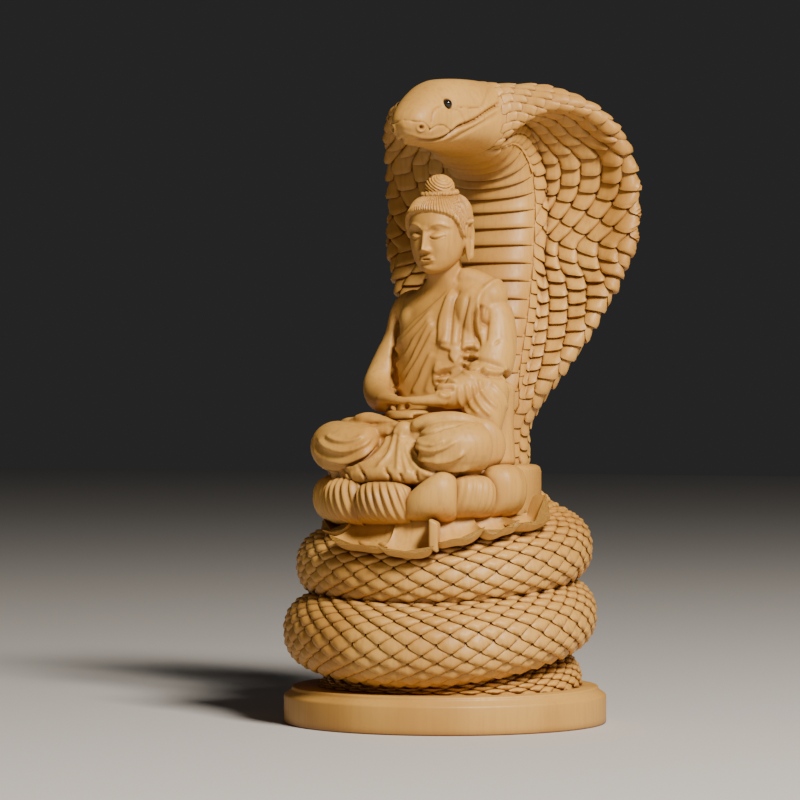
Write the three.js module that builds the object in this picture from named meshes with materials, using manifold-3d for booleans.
// A boxwood carving of a buddha seated on a lotus, sheltered by the hood of a coiled cobra,
// glued to a turned plinth, with two round black eye beads set into the cobra's head.
// Millimetres, +Z up. The buddha faces -Y, and +X is on the buddha's left. The origin is the
// centre of the plinth's underside.
import * as THREE from 'three';
import { mergeVertices } from 'three/addons/utils/BufferGeometryUtils.js';
import Module from 'manifold-3d';

const wasm = await Module();
wasm.setup();

// Plinth
const plinthRadius = 44.6;
const plinthWall = 7.7; // height of the upright rim
const plinthHeight = 10.1;
const plinthLedge = 2.2; // width of the sloping ledge above the rim
const plinthStep = 0.9; // height of the small upright step above the ledge
const plinthEdge = 0.5; // bevel on the rim's and the top's edges
const plinthSides = 32;

// Cobra
const bodyRadius = 12.6; // thickest part of the coiled body
const coilRadius = 28; // from the axis to the middle of the body, upper turn
const lowerCoilSpread = 3.5; // the lower turn lies this much wider
const coilFlatness = 0.82; // height of the body's section against its breadth
const coilPitch = 18.3; // drop of the body in one turn
const coilSag = 2.2; // the drop is gentle in front and steep behind
const coilBow = 1.9; // the turns lie this much lower in front and behind, and higher at the sides
const coilTopHeight = 38.7; // middle of the body where the upper turn ends, above the plinth
const coilStart = 122; // degrees from the front, towards +X, where the neck rises
const coilEnd = -800; // tail tip, more than two and a half turns on
const tailSink = 1.4; // the middle of the flat-lying tail, below the plinth's top
const tailSpread = 2; // the tail lies this much wider than the upper turn
const scaleRelief = 0.75; // height of a scale
const coilScaleTurn = 16; // scales in one turn of the body
const neckRadius = 12;
const hoodHalfWidth = 40;
const hoodThickness = 5;
const ventralHalfWidth = 12.8; // the ribbed band down the front of the hood
const ribDepth = 1.0;
const headHalfWidth = 12;

// Eyes
const eyeRadius = 1.25;
const eyeReachShare = 0.608; // of the head's half-width, out to the middle of a bead
const eyeForward = 11.6;
const eyeRise = 121.1; // above coilTopHeight
const socketGap = 0.3; // filled with glue

// Lotus
const lotusForward = 12; // the middle of the petals lies in front of the axis
const lotusRadius = 30.8;
const drumInset = 2.6; // the drum behind the petals is this much narrower than they are
const drumForward = 2;
const petalRise = 3.2; // the foot of the petals lies this far above coilTopHeight
const lotusHeight = 16.6; // from there to the seat
const petalPitch = 26.6; // degrees from one upper petal to the next
const lowerPetalThickness = 2.4;
const fluteDepth = 0.55;

// Buddha, with heights above the seat
const kneeReach = 23.2; // from the middle to the middle of a knee
const kneeForward = 22.4;
const kneeRadius = 7.4;
const shoulderHeight = 46.4;
const shoulderReach = 13.8;
const elbowReach = 17.6;
const elbowHeight = 24.4;
const handHeight = 17.4;
const handForward = 21.5;
const headHeight = 66.6; // middle of the head
const headForward = 2.6;
const headWidth = 17;
const headDepth = 18.6;
const headLength = 23;
const topknotRadius = 4.6;
const headTilt = 8; // degrees, looking down

// Sizes that follow from these, above the plinth
const petalFoot = coilTopHeight + petalRise;
const seatHeight = petalFoot + lotusHeight;
const drumRadius = lotusRadius - drumInset;

// Faceting
const sliverSize = 0.05; // slivers thinner than this, left where masses join, are merged

const rad = THREE.MathUtils.degToRad;
const clamp = THREE.MathUtils.clamp;
const lerp = THREE.MathUtils.lerp;
const smooth = THREE.MathUtils.smoothstep;
const vec = (x, y, z) => new THREE.Vector3(x, y, z);

// Solids and skins

// A closed geometry as a solid, turned to face outwards.
function solidOf(geometry) {
  const bare = geometry.clone();
  bare.deleteAttribute('normal');
  bare.deleteAttribute('uv');
  const merged = mergeVertices(bare, 1e-4);
  const triangles = new Uint32Array(merged.index.array);
  const build = () => new wasm.Manifold(new wasm.Mesh({
    numProp: 3,
    vertProperties: merged.attributes.position.array,
    triVerts: triangles,
  }));
  const first = build();
  if (first.volume() > 0) return first;
  for (let i = 0; i < triangles.length; i += 3) {
    const second = triangles[i + 1];
    triangles[i + 1] = triangles[i + 2];
    triangles[i + 2] = second;
  }
  return build();
}

function geometryOf(solid) {
  const { vertProperties, triVerts } = solid.getMesh();
  const geometry = new THREE.BufferGeometry();
  geometry.setAttribute('position', new THREE.BufferAttribute(new Float32Array(vertProperties), 3));
  geometry.setIndex(new THREE.BufferAttribute(new Uint32Array(triVerts), 1));
  const flat = geometry.toNonIndexed();
  flat.computeVertexNormals();
  return flat;
}

function joined(solids) {
  return solids.reduce((sum, solid) => sum.add(solid));
}

// The wood is solid: pockets shut in between joined masses are filled.
function withoutPockets(solid) {
  return joined(solid.decompose().filter((shell) => shell.volume() > 0));
}

// A closed skin over rings of points, with a fan at each end. Each quad is split along the
// corners whose indices add up to an odd number, so that lifting the even ones makes scales.
// The rings of a stretch are counted on from the stretch before it.
function skin(rings, first = 0) {
  const count = rings[0].length;
  const positions = rings.flat().flatMap((p) => [p.x, p.y, p.z]);
  const faces = [];
  const at = (i, j) => i * count + (j % count);
  for (let i = 0; i < rings.length - 1; i += 1) {
    for (let j = 0; j < count; j += 1) {
      const [a, b, c, d] = [at(i, j), at(i + 1, j), at(i + 1, j + 1), at(i, j + 1)];
      if ((first + i + j) % 2 === 0) faces.push(a, b, d, b, c, d);
      else faces.push(a, b, c, a, c, d);
    }
  }
  for (const end of [0, rings.length - 1]) {
    const middle = rings[end].reduce((sum, p) => sum.add(p), vec(0, 0, 0)).divideScalar(count);
    const tip = positions.length / 3;
    positions.push(middle.x, middle.y, middle.z);
    for (let j = 0; j < count; j += 1) {
      if (end === 0) faces.push(tip, at(end, j), at(end, j + 1));
      else faces.push(tip, at(end, j + 1), at(end, j));
    }
  }
  const geometry = new THREE.BufferGeometry();
  geometry.setAttribute('position', new THREE.Float32BufferAttribute(positions, 3));
  geometry.setIndex(faces);
  return solidOf(geometry);
}

// A rounded limb through points, with a radius at each.
function limb(points, radii, { sides, steps, relief = () => 0 }) {
  const curve = new THREE.CatmullRomCurve3(points);
  const frames = curve.computeFrenetFrames(steps);
  const rings = [];
  for (let i = 0; i <= steps; i += 1) {
    const share = i / steps;
    const middle = curve.getPoint(share);
    const place = share * (radii.length - 1);
    const low = Math.min(Math.floor(place), radii.length - 2);
    const size = lerp(radii[low], radii[low + 1], place - low);
    const ring = [];
    for (let j = 0; j < sides; j += 1) {
      const angle = (j / sides) * 2 * Math.PI;
      const reach = size + relief(j, share);
      ring.push(middle.clone()
        .addScaledVector(frames.normals[i], reach * Math.cos(angle))
        .addScaledVector(frames.binormals[i], reach * Math.sin(angle)));
    }
    rings.push(ring);
  }
  return skin(rings);
}

// A thin fold of cloth that stands out of what it lies on.
function fold(points, width) {
  return limb(points, [width * 0.4, width, width, width * 0.4], { sides: 3, steps: points.length + 1 });
}

// A ball stretched to three half sizes, turned, and moved to its place.
function ball(place, halves, turn, detail) {
  const geometry = new THREE.SphereGeometry(1, detail[0], detail[1]);
  const matrix = new THREE.Matrix4().compose(
    vec(...place),
    new THREE.Quaternion().setFromEuler(new THREE.Euler(...turn.map(rad))),
    vec(...halves),
  );
  return solidOf(geometry.applyMatrix4(matrix));
}

// A value read from rows of [place, value, ...], eased between them.
function along(rows, place, column = 1) {
  const last = rows.length - 1;
  if (place <= rows[0][0]) return rows[0][column];
  if (place >= rows[last][0]) return rows[last][column];
  const next = rows.findIndex((row) => row[0] > place);
  const share = (place - rows[next - 1][0]) / (rows[next][0] - rows[next - 1][0]);
  return lerp(rows[next - 1][column], rows[next][column], share);
}

// Plinth

function plinth() {
  const top = plinthRadius - plinthLedge;
  const profile = [
    [0, 0],
    [plinthRadius - plinthEdge, 0],
    [plinthRadius, plinthEdge],
    [plinthRadius, plinthWall],
    [top, plinthHeight - plinthStep],
    [top, plinthHeight - plinthEdge],
    [top - plinthEdge, plinthHeight],
    [0, plinthHeight],
  ].map(([r, z]) => new THREE.Vector2(r, z));
  const lathe = new THREE.LatheGeometry(profile, plinthSides).rotateX(Math.PI / 2);
  return solidOf(lathe);
}

// Cobra's coils

// The middle of the body at a direction in degrees from the front.
function coilPoint(direction) {
  const wider = lowerCoilSpread * Math.exp(-(((direction + 330) / 150) ** 2));
  const radius = coilRadius + wider + tailSpread * smooth(-direction, 600, 720);
  const height = coilTopHeight + (coilPitch * (direction - 120)) / 360
    + coilSag * Math.cos(rad(direction + 60)) - coilBow * Math.cos(rad(2 * (direction - 20)));
  return vec(
    radius * Math.sin(rad(direction)) - wider * 0.4,
    -radius * Math.cos(rad(direction)) - wider * 0.45,
    Math.max(height, -tailSink),
  );
}

function coilThickness(direction) {
  const tail = smooth(-direction, 430, -coilEnd + 30);
  return bodyRadius * (1 - 0.62 * tail);
}

// One stretch of the body between two directions. A stretch ends on the ring where the next one
// starts, so that the body stays whole where they meet.
function coilStretch(first, last, stations) {
  const step = (coilStart - coilEnd) / stations;
  const outer = 11;
  const outerReach = 102;
  const angles = [180];
  for (let j = 0; j < outer; j += 1) angles.push(-outerReach + (2 * outerReach * j) / (outer - 1));
  const rings = [];
  for (let i = first; i <= last; i += 1) {
    const direction = coilStart - i * step;
    const middle = coilPoint(direction);
    const ahead = coilPoint(direction - 1).sub(coilPoint(direction + 1)).normalize();
    const outward = vec(Math.sin(rad(direction)), -Math.cos(rad(direction)), 0);
    const up = outward.clone().cross(ahead).normalize();
    if (up.z < 0) up.negate();
    const end = Math.min(i, stations - i);
    const closing = end < 3 ? [0.55, 0.85, 0.97][end] : 1;
    const size = coilThickness(direction) * closing;
    rings.push(angles.map((angle, j) => {
      const raised = (i + j) % 2 === 0 && j > 0 && end > 1;
      const reach = size + (raised ? scaleRelief * 0.55 : -scaleRelief * 0.45);
      return middle.clone()
        .addScaledVector(outward, reach * Math.cos(rad(angle)))
        .addScaledVector(up, reach * coilFlatness * Math.sin(rad(angle)))
        .addScaledVector(ahead, raised ? 0.9 : 0);
    }));
  }
  return skin(rings, first);
}

// The body's rise out of the upper turn into the neck.
function rise() {
  const path = [coilPoint(92), coilPoint(112), coilPoint(130), vec(11.5, 25.4, coilTopHeight + 2.7),
    vec(3.4, 25.6, coilTopHeight + 9.7), vec(0.2, 24.8, coilTopHeight + 18.2),
    vec(0, 24.8, coilTopHeight + 23.2)];
  const curve = new THREE.CatmullRomCurve3(path);
  const steps = 11;
  const sides = 10;
  const frames = curve.computeFrenetFrames(steps);
  const rings = [];
  for (let i = 0; i <= steps; i += 1) {
    const share = i / steps;
    const middle = curve.getPoint(share);
    const size = lerp(bodyRadius * coilFlatness, neckRadius - 0.9, smooth(share, 0.2, 0.7));
    const ring = [];
    for (let j = 0; j < sides; j += 1) {
      const angle = (j / sides) * 2 * Math.PI;
      const reach = size + scaleRelief * ((i + j) % 2 === 0 ? 0.55 : -0.45);
      ring.push(middle.clone()
        .addScaledVector(frames.normals[i], reach * Math.cos(angle))
        .addScaledVector(frames.binormals[i], reach * Math.sin(angle)));
    }
    rings.push(ring);
  }
  return skin(rings);
}

function coils() {
  const stations = Math.round(((coilStart - coilEnd) / 360) * 2 * coilScaleTurn);
  const stretches = 4;
  const length = Math.ceil(stations / stretches);
  const parts = [];
  for (let first = 0; first < stations; first += length) {
    parts.push(coilStretch(first, Math.min(first + length, stations), stations));
  }
  return joined(parts);
}

// The solid wood inside the coils, hidden by them and by the lotus.
function coilCore() {
  const height = petalFoot + 1;
  const core = new THREE.CylinderGeometry(coilRadius - 3, coilRadius - 1, height, 18);
  core.rotateX(Math.PI / 2).translate(0, 0, height / 2);
  return solidOf(core);
}

// Cobra's neck, hood and head, as one sweep along a spine in the middle plane

// Place along the spine, forward lean in degrees, spine y, rise above coilTopHeight, half-width,
// how far the section has opened into a hood (0 round, 1 hood) and has become the head.
const spine = [
  [0, 1, 24.8, 3.2, neckRadius, 0, 0],
  [18, 1, 24.8, 21.2, neckRadius - 0.4, 0, 0],
  [28, -1, 24.4, 31.2, neckRadius, 0.05, 0],
  [36, -4, 24.8, 39.2, hoodHalfWidth * 0.39, 0.3, 0],
  [46, -7, 26, 48.7, hoodHalfWidth * 0.56, 0.62, 0],
  [56, -9, 27.8, 58.2, hoodHalfWidth * 0.7, 0.85, 0],
  [66, -10, 29.8, 68.2, hoodHalfWidth * 0.82, 1, 0],
  [76, -8, 31.7, 78, hoodHalfWidth * 0.93, 1, 0],
  [86, -3, 32.9, 88, hoodHalfWidth, 1, 0],
  [94, 6, 33.3, 96.2, hoodHalfWidth, 1, 0],
  [101, 20, 31.6, 103, hoodHalfWidth * 0.985, 1, 0],
  [108, 40, 28, 109.2, hoodHalfWidth * 0.95, 1, 0],
  [114, 58, 22.9, 113.2, hoodHalfWidth * 0.85, 1, 0],
  [120, 74, 17, 115.6, hoodHalfWidth * 0.64, 0.9, 0.1],
  [125, 84, 12.2, 116.8, hoodHalfWidth * 0.42, 0.5, 0.5],
  [130, 88, 7.2, 117.4, headHalfWidth * 1.08, 0, 1],
  [136, 90, 1.6, 117.6, headHalfWidth, 0, 1],
  [144, 93, -6, 117.2, headHalfWidth * 0.8, 0, 1],
  [150, 96, -11.4, 116.5, headHalfWidth * 0.66, 0, 1],
  [155, 99, -15.8, 115.6, headHalfWidth * 0.56, 0, 1],
  [159, 101, -19.2, 115, headHalfWidth * 0.46, 0, 1],
  [161.6, 102, -21.4, 114.7, headHalfWidth * 0.33, 0, 1],
  [162.4, 102, -22, 114.7, headHalfWidth * 0.18, 0, 1],
];
// Half depths of the sweep: place, towards the belly, towards the back, and how far the rim
// lies towards the back.
const depths = [
  [0, 10.6, 10.6, 6],
  [28, 10, 10, 6],
  [56, 10.4, 9.8, 7.4],
  [86, 10.4, 10, 9.6],
  [108, 10.2, 11, 11.2],
  [120, 10, 12.2, 12.8],
  [130, 9, 12.2, 12],
  [136, 8.2, 11.8, 12],
  [144, 7.4, 10.6, 10],
  [150, 6.6, 9, 9],
  [155, 5.6, 7.2, 7],
  [159, 4.4, 5.2, 5],
  [161.6, 2.9, 3.2, 2],
  [162.4, 1.6, 1.8, 1],
];
const bandPoints = 2; // from the middle of the belly band to its edge
const wingPoints = 5; // from the band's edge to the rim
const backPoints = 5; // from the rim to the middle of the back
const ringCount = 2 * (bandPoints + wingPoints + backPoints);

// The section's half outline from the belly's middle (0) by way of the rim to the back's middle.
function sweepPoint(place, index, side, lift) {
  const width = along(spine, place, 4);
  const open = along(spine, place, 5);
  const head = along(spine, place, 6);
  const belly = along(depths, place, 1);
  const back = along(depths, place, 2);
  const rimDepth = along(depths, place, 3);
  const rim = bandPoints + wingPoints;
  const core = Math.min(width, neckRadius + 1.5);
  const bandEdge = Math.min(ventralHalfWidth, width * 0.85);
  let x;
  let angle;
  if (index <= bandPoints) {
    x = (bandEdge * index) / bandPoints;
    angle = (28 * index) / bandPoints;
  } else if (index <= rim) {
    const share = (index - bandPoints) / wingPoints;
    x = lerp(bandEdge, width, share ** 0.9);
    angle = lerp(28, 90, share);
  } else {
    const share = (index - rim) / backPoints;
    x = width * Math.cos((share * Math.PI) / 2) ** 0.8;
    angle = lerp(90, 180, share);
  }
  const across = clamp(x / width, 0, 1);
  const onBack = index > rim;
  const round = Math.sqrt(Math.max(0, 1 - across * across));
  const curl = 3.2 * smooth(across, 0.72, 1);
  const edge = (hoodThickness / 2) * Math.sqrt(Math.max(0, 1 - across ** 8));
  let hood;
  if (onBack) {
    hood = rimDepth - curl + edge + (back - rimDepth - hoodThickness / 2) * (1 - across ** 2);
  } else {
    const neck = -belly * Math.sqrt(Math.max(0, 1 - (x / core) ** 2));
    const wing = lerp(0.5, rimDepth, across ** 0.8) - curl - edge;
    hood = x < core ? Math.min(neck, wing) : wing;
  }
  const plain = onBack ? back * round : -belly * round;
  const bodyDepth = lerp(plain, hood, open);
  const sine = Math.sin(rad(angle)) ** 0.85;
  const cosine = Math.abs(Math.cos(rad(angle))) ** 0.85;
  const headDepthHere = angle > 90 ? back * cosine : -belly * cosine;
  const sideways = lerp(x, width * sine, head);
  const depth = lerp(bodyDepth, headDepthHere, head);
  const lean = rad(along(spine, place, 1));
  const normalY = Math.cos(lean);
  const normalZ = Math.sin(lean);
  const out = (onBack || index > rim - 2 ? 1 : -1) * lift;
  return vec(
    side * (sideways + (index >= rim - 1 && index <= rim + 1 ? lift * 0.6 : 0)),
    along(spine, place, 2) + normalY * (depth + out),
    coilTopHeight + along(spine, place, 3) + normalZ * (depth + out),
  );
}

function hoodAndHead() {
  const rows = [];
  const scaleStep = 3.95;
  const neckStart = 13; // inside the rise out of the coils
  const headStart = 126;
  for (let place = neckStart; place < headStart; place += scaleStep) rows.push(place);
  rows.push(129, 133, 138, 143, 147.5, 151.5, 155, 158, 160.2, 161.6, 162.4);
  const half = ringCount / 2;
  const rings = rows.map((place, i) => {
    const ring = [];
    for (let j = 0; j < ringCount; j += 1) {
      const index = j <= half ? j : ringCount - j;
      const side = j <= half ? 1 : -1;
      const scaled = 1 - smooth(place, headStart - 8, headStart);
      const raised = (i + j) % 2 === 0 ? 0.55 : -0.45;
      let lift = scaleRelief * scaled * raised;
      if (index < bandPoints) lift = ribDepth * scaled * (i % 2 === 0 ? 0.5 : -0.5);
      ring.push(sweepPoint(place, index, side, lift));
    }
    return ring;
  });
  return skin(rings);
}

function eyePlace(side) {
  return vec(side * headHalfWidth * eyeReachShare, -eyeForward, coilTopHeight + eyeRise);
}

function eye(side, extra = 0) {
  const bead = new THREE.SphereGeometry(eyeRadius + extra, 8, 6);
  const place = eyePlace(side);
  return solidOf(bead.translate(place.x, place.y, place.z));
}

// Lotus

// A spot on the lotus: a direction from the front in degrees, a reach from the middle of the
// petals and a height. The petals stand on an oval, a little shallower than wide.
const lotusSquash = 0.88;
function lotusSpot(direction, reach, height) {
  return vec(
    reach * Math.sin(rad(direction)),
    -lotusForward - reach * lotusSquash * Math.cos(rad(direction)),
    height,
  );
}

// The upper ring of fat petals, whose tips curl in over the seat.
function upperRing() {
  const perPetal = 5;
  // How deep each petal is fluted, and how tall it is, from the right of the figure to its left.
  const fluted = [0, 0, 0.5, 0.9, 1, 0, 0.3, 0.15, 0];
  const tall = [1, 1, 0.97, 0.93, 0.9, 1.03, 1, 1.06, 1];
  const frontPetal = 2.8; // direction of the middle one
  const firstEdge = frontPetal - (fluted.length * petalPitch) / 2;
  // Height above the foot, reach between petals, and how far a petal bulges past that.
  const profile = [
    [-1, lotusRadius - 10, 0],
    [0.5, lotusRadius - 6.5, 3.6],
    [4.5, lotusRadius - 3, 3.4],
    [9.5, lotusRadius - 2.4, 3.2],
    [14, lotusRadius - 3.2, 2.6],
    [16.4, lotusRadius - 6, 1.6],
    [16.6, lotusRadius - 10, 0.6],
  ];
  return skin(profile.map(([rise, reach, bulge], i) => {
    const ring = [];
    const bend = (i > 0 && i < profile.length - 1) ? 1 : 0;
    for (let j = 0; j < fluted.length * perPetal; j += 1) {
      const petal = Math.floor(j / perPetal);
      const across = ((j % perPetal) / perPetal) * 2 - 1;
      const direction = firstEdge + (j * petalPitch) / perPetal;
      const round = 1 - Math.abs(across) ** 2.4;
      const flute = fluteDepth * fluted[petal] * (j % 2 === 0 ? -1 : 1) * bend;
      const droop = rise > 12 ? tall[petal] * (1 - 0.16 * Math.abs(across) ** 2) : 1;
      ring.push(lotusSpot(direction, reach + bulge * round + flute, petalFoot + rise * droop));
    }
    for (const direction of [150, 183, 216]) {
      ring.push(lotusSpot(direction, lotusRadius - 13, petalFoot + rise));
    }
    return ring;
  }));
}

// One thin petal of the lower ring, lying on the coil round the axis, with upturned edges. Its
// tip lies a little beyond the upper petals, and above or below their foot.
function lowerPetal(direction, halfAngle, beyond, tipRise) {
  const root = petalFoot + 5.4;
  const tipReach = lotusRadius + beyond;
  const tipHeight = petalFoot + tipRise;
  const stations = [
    [lotusRadius - 9, root, 0.6],
    [tipReach - 4, lerp(root, tipHeight, 0.25), 0.98],
    [tipReach, tipHeight, 0.84],
  ];
  const sides = 8;
  return skin(stations.map(([reach, height, wide], i) => {
    const ring = [];
    for (let j = 0; j < sides; j += 1) {
      const angle = (j / sides) * 2 * Math.PI;
      const across = Math.cos(angle);
      const lift = (lowerPetalThickness / 2) * Math.sin(angle) + (i > 0 ? 1.3 * across ** 2 : 0);
      const spread = rad(direction + halfAngle * wide * across);
      const end = reach - (i === stations.length - 1 ? 1.2 * (across - 0.4) ** 2 : 0);
      ring.push(vec(end * Math.sin(spread), -end * Math.cos(spread), height + lift));
    }
    return ring;
  }));
}

function lotus() {
  const drumHeight = seatHeight + 1 - petalFoot;
  const drum = new THREE.CylinderGeometry(drumRadius - 0.8, drumRadius, drumHeight, 24);
  drum.rotateX(Math.PI / 2).translate(0, -drumForward, petalFoot + drumHeight / 2);
  const pieces = [solidOf(drum), upperRing()];
  // Direction, half its breadth in degrees, how far its tip lies beyond, and the tip's rise.
  const lower = [
    [-98, 15, 2.2, 8],
    [-70, 14, 4.7, 4.5],
    [-43, 12, 6.7, 3.5],
    [-13.5, 16.5, 11.4, -2.2],
    [14, 13, 12, -3.2],
    [36, 11, 9.8, -0.8],
    [58, 13, 7.2, 2.4],
    [86, 15, 2.4, 9.5],
    [112, 13, 1.8, 8],
  ];
  for (const row of lower) pieces.push(lowerPetal(...row));
  return joined(pieces);
}

// Buddha

// Height, middle y, half-width and half-depth of the torso.
const torso = [
  [-1, -7, 18, 15],
  [handHeight - 4, -3, 14.2, 11.4],
  [elbowHeight - 2, -0.8, 13.6, 9.6],
  [elbowHeight + 7, 0.8, 14, 9.5],
  [shoulderHeight - 8, 2.2, 14.8, 9.6],
  [shoulderHeight - 2, 3.4, 15.2, 9],
  [shoulderHeight + 2.4, 3.6, 14.4, 7.6],
  [shoulderHeight + 5, 2.6, 9, 6.2],
  [shoulderHeight + 8, 0.6, 5.2, 5.2],
  [headHeight - 6.2, -1.8, 4.8, 5],
];

// A point on the torso, at an angle from the front towards +X, and a distance off its skin.
function onTorso(angle, height, off = 0) {
  const width = along(torso, height, 2) + off;
  const depth = along(torso, height, 3) + off;
  return vec(
    width * Math.sign(Math.sin(rad(angle))) * Math.abs(Math.sin(rad(angle))) ** 0.9,
    along(torso, height, 1) - depth * Math.cos(rad(angle)),
    height,
  );
}

function torsoSolid() {
  const sides = 16;
  return skin(torso.map(([height]) => {
    const ring = [];
    for (let j = 0; j < sides; j += 1) ring.push(onTorso((j / sides) * 360, height));
    return ring;
  }));
}

// A strip of hanging cloth with upright flutes: rings of points from its top to its hem.
function drape(top, foot, { flutes, depth, thick = 2.4, steps, sway = 0 }) {
  const count = flutes * 2 + 1;
  const rings = [];
  for (let i = 0; i <= steps; i += 1) {
    const share = i / steps;
    const front = [];
    const rear = [];
    for (let j = 0; j < count; j += 1) {
      const across = j / (count - 1);
      const place = top(across).lerp(foot(across), share);
      const inward = vec(0, 2, place.z).sub(place).setZ(0).normalize();
      const wave = (j % 2 === 0 ? -0.5 : 0.5) * depth * (0.4 + 0.6 * share);
      place.z += sway * share * (j % 2 === 0 ? -0.5 : 0.5);
      front.push(place.clone().addScaledVector(inward, -wave));
      rear.unshift(place.clone().addScaledVector(inward, thick));
    }
    rings.push([...front, rear[0], rear[rear.length - 1]]);
  }
  return skin(rings);
}

function robe() {
  const pieces = [];
  // Pleats from the left shoulder down to the right of the waist.
  const pleats = 3;
  for (let k = 0; k < pleats; k += 1) {
    const fan = k / (pleats - 1);
    pieces.push(fold([
      onTorso(lerp(2, 8, fan), shoulderHeight - lerp(6, 11, fan), 0),
      onTorso(lerp(-18, -10, fan), shoulderHeight - lerp(11, 20, fan), 0.2),
      onTorso(lerp(-42, -24, fan), shoulderHeight - lerp(17.5, 27, fan), 0.1),
    ], 1));
  }
  // The robe's thickness on the left shoulder.
  pieces.push(ball([11.5, 3.4, shoulderHeight + 2.6], [9, 6.8, 4.4], [0, 24, 0], [8, 4]));
  // The robe's panel over the left shoulder, falling straight, in two tiers.
  for (const [wide, fallen, off] of [[1, 17, 1.3], [0.62, 25.5, 0.7]]) {
    pieces.push(drape(
      (across) => onTorso(lerp(24, 66, across), shoulderHeight + 3, 0.4),
      (across) => onTorso(lerp(20, 20 + 42 * wide, across), shoulderHeight - fallen - 2 * across, off),
      { flutes: 3, depth: 1.3, steps: 2, sway: 1.6 },
    ));
  }
  return pieces;
}

function arms() {
  const shoulder = shoulderHeight - 1;
  const bare = limb([
    vec(-shoulderReach + 5, 4.2, shoulder + 2.6),
    vec(-shoulderReach - 0.2, 4.4, shoulder + 0.2),
    vec(-shoulderReach - 2, 3.6, shoulder - 8),
    vec(-elbowReach, -0.6, elbowHeight + 7),
    vec(-elbowReach - 0.6, -4, elbowHeight + 0.5),
    vec(-elbowReach + 3, -10.5, elbowHeight - 3.4),
    vec(-9.5, -17.5, handHeight + 2.4),
  ], [3.8, 5, 4.9, 4.6, 4.6, 3.9, 3], { sides: 7, steps: 9 });
  const sleeved = limb([
    vec(shoulderReach - 0.6, 4.6, shoulder + 2),
    vec(shoulderReach + 1, 3.8, shoulder - 6),
    vec(elbowReach - 1.6, 0, elbowHeight + 9),
    vec(elbowReach - 1.4, -2.6, elbowHeight + 2),
    vec(elbowReach - 2.4, -8.5, elbowHeight - 1),
    vec(elbowReach - 6.4, -14.5, handHeight + 4),
  ], [5.4, 6, 6.2, 6.8, 5.8, 4.2], { sides: 8, steps: 7 });
  const wrist = limb([
    vec(13.5, -14, handHeight + 3.6),
    vec(9, -18, handHeight + 2.8),
    vec(4, -handForward + 0.8, handHeight + 2),
  ], [3.2, 2.8, 2.4], { sides: 6, steps: 2 });
  const hanging = drape(
    (across) => vec(lerp(8, 21.6, across), lerp(-16.5, -1, across), elbowHeight + lerp(-2, 4, across)),
    (across) => vec(lerp(15, 24, across), lerp(-18, -4, across), lerp(10.4, 0, across)),
    { flutes: 3, depth: 1.6, thick: 6, steps: 2, sway: 0.8 },
  );
  return [bare, sleeved, wrist, hanging];
}

function hands() {
  const thumb = [1.25, 1.1, 0.85];
  return [
    ball([-2, -handForward, handHeight + 1.8], [7.6, 3.4, 1.7], [0, 5, 8], [8, 5]),
    ball([3, -handForward - 0.6, handHeight - 0.2], [8, 3.8, 1.8], [0, -5, -6], [8, 5]),
    limb([
      vec(-8.5, -handForward + 1.4, handHeight + 3.2),
      vec(-4.5, -handForward - 1.2, handHeight + 4.6),
      vec(-0.2, -handForward - 1.6, handHeight + 5),
    ], thumb, { sides: 4, steps: 2 }),
    limb([
      vec(8.6, -handForward + 1.2, handHeight + 3),
      vec(4.6, -handForward - 1.2, handHeight + 4.6),
      vec(0.4, -handForward - 1.6, handHeight + 5),
    ], thumb, { sides: 4, steps: 2 }),
  ];
}

const shinSlope = 8.5; // the shin's end lies this much further forward than the knee

function legs() {
  const pieces = [];
  const middle = kneeRadius;
  // Swags of cloth that run along the shin and fade at its ends.
  const swags = (j, share) => (j % 2 === 0 ? 0.4 : -0.4) * Math.sin(Math.PI * share) ** 0.5;
  for (const side of [-1, 1]) {
    pieces.push(limb([
      vec(side * 8, 0, middle + 1),
      vec(side * 16, -10, middle + 1.2),
      vec(side * kneeReach, -kneeForward + 1, middle),
    ], [8.6, 8.6, kneeRadius], { sides: 7, steps: 3 }));
    pieces.push(limb([
      vec(side * (kneeReach - 1.5), -kneeForward + 6, middle),
      vec(side * kneeReach, -kneeForward, middle),
      vec(side * 16.5, -kneeForward - 3.6, middle),
      vec(side * 8, -kneeForward - shinSlope * 0.7, middle - 1),
      vec(side * 1, -kneeForward - shinSlope, middle - 2.4),
    ], [kneeRadius - 1.4, kneeRadius, kneeRadius, kneeRadius - 1, 4.6], {
      sides: 10, steps: 5, relief: swags,
    }));
    pieces.push(ball(
      [side * 10, -kneeForward + 0.2, handHeight - 1],
      [9, 4, 3],
      [0, side * 12, side * 8],
      [7, 4],
    ));
  }
  return [...pieces, fall(), hem()];
}

// The robe's front fall between the shins.
function fall() {
  return drape(
    (across) => vec(lerp(-2.5, 5, across), -kneeForward - 3.5, handHeight - 1),
    (across) => vec(lerp(-7, 10, across), -kneeForward - shinSlope - 4.6, 0),
    { flutes: 3, depth: 2, thick: 12, steps: 2 },
  );
}

// The robe's scalloped hem, spread on the seat.
function hem() {
  const outline = [];
  const scallops = 7;
  const perScallop = 3;
  for (let k = 0; k <= scallops * perScallop; k += 1) {
    const direction = rad(lerp(-64, 62, k / (scallops * perScallop)));
    const lobe = Math.abs(Math.sin((Math.PI * k) / perScallop)) ** 0.6;
    const reach = 23 + 1.6 * lobe;
    outline.push(new THREE.Vector2(1.08 * reach * Math.sin(direction), -12 - reach * Math.cos(direction)));
  }
  outline.push(new THREE.Vector2(0, 0));
  const cloth = new THREE.ExtrudeGeometry(new THREE.Shape(outline), { depth: 3.4, bevelEnabled: false });
  return solidOf(cloth.translate(0, 0, -1.8));
}

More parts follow.
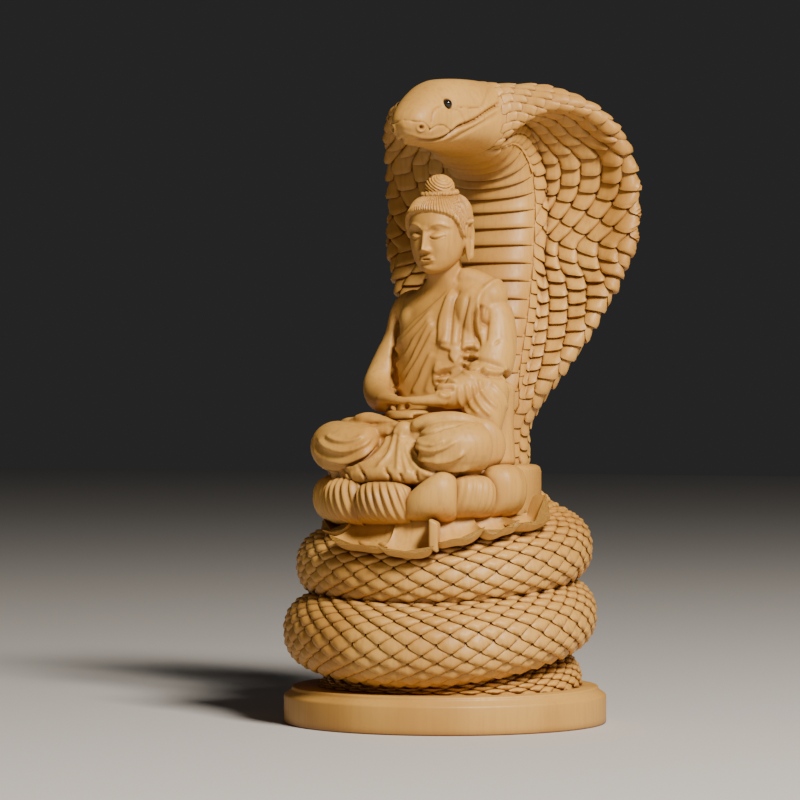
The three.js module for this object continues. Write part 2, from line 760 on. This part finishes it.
// The head's skin at an angle from the front and a height from -1 (chin) to 1 (crown).
function onHead(angle, height) {
  const side = Math.sin(rad(angle));
  const front = Math.cos(rad(angle));
  const round = Math.sqrt(Math.max(0, 1 - height * height));
  const jaw = height < 0 ? 1 - 0.16 * height * height * (front > 0 ? 1 : 2) : 1;
  const near = (x, z, width, tall) => Math.exp(
    -(((Math.abs(side) - x) / width) ** 2) - (((height - z) / tall) ** 2),
  ) * (front > 0 ? 1 : 0);
  const bump = 1.5 * near(0, -0.12, 0.14, 0.2) + 0.6 * near(0, 0.12, 0.12, 0.22)
    - 0.7 * near(0.36, 0.12, 0.16, 0.12) + 0.5 * near(0.34, 0.3, 0.3, 0.1)
    + 0.6 * near(0, -0.42, 0.2, 0.1) - 0.35 * near(0, -0.58, 0.26, 0.08)
    + 0.6 * near(0, -0.76, 0.26, 0.14);
  return vec(
    (headWidth / 2) * side * round ** 0.8 * jaw,
    -((headDepth / 2) * front * round ** 0.8 * jaw + bump * Math.max(0, front)),
    (headLength / 2) * 0.9 * height,
  );
}

function head() {
  const heights = [-0.96, -0.8, -0.64, -0.5, -0.36, -0.2, -0.02, 0.14, 0.32, 0.75];
  const angles = [0, 10, 22, 38, 70, 120, 180, 240, 290, 322, 338, 350];
  const skull = skin(heights.map((height) => angles.map((angle) => onHead(angle, height))));
  const hair = ball(
    [0, 1.6, 3],
    [headWidth / 2 + 0.9, headDepth / 2, headLength / 2 - 2.2],
    [-14, 0, 0],
    [12, 7],
  );
  const bun = ball(
    [0, 1.2, headLength / 2 + 1.6],
    [topknotRadius, topknotRadius, topknotRadius * 0.78],
    [0, 0, 0],
    [8, 5],
  );
  const ears = [-1, 1].map((side) => (
    ball([side * (headWidth / 2), 0.6, -2.6], [1.1, 1.8, 5], [8, side * -4, 0], [6, 6])
  ));
  const mesh = geometryOf(joined([skull, hair, bun, ...ears]));
  mesh.rotateX(rad(headTilt)).translate(0, -headForward, headHeight);
  return solidOf(mesh);
}

function buddha() {
  return joined([torsoSolid(), ...robe(), ...arms(), ...hands(), ...legs(), head()])
    .translate([0, 0, seatHeight]);
}

// The finished carving, flat where it is glued to the plinth, and lifted onto it

function carving() {
  const whole = joined([coils(), rise(), coilCore(), hoodAndHead(), lotus(), buddha()]);
  const room = 4 * plinthRadius;
  const below = new THREE.BoxGeometry(room, room, room).translate(0, 0, -room / 2);
  return withoutPockets(whole.subtract(solidOf(below)).simplify(sliverSize))
    .subtract(eye(-1, socketGap))
    .subtract(eye(1, socketGap))
    .translate([0, 0, plinthHeight]);
}

function piece(name, solid, look) {
  const mesh = new THREE.Mesh(geometryOf(solid), new THREE.MeshStandardMaterial(look));
  mesh.name = name;
  return mesh;
}

const boxwood = { color: 0xd9b27c, roughness: 0.5, metalness: 0 };
const blackGlass = { color: 0x0b0908, roughness: 0.08, metalness: 0 };

const figure = new THREE.Group();
figure.add(piece('plinth', plinth(), boxwood));
figure.add(piece('naga_buddha_carving', carving(), boxwood));
figure.add(piece('cobra_eye_right', eye(-1).translate([0, 0, plinthHeight]), blackGlass));
figure.add(piece('cobra_eye_left', eye(1).translate([0, 0, plinthHeight]), blackGlass));

export default figure;
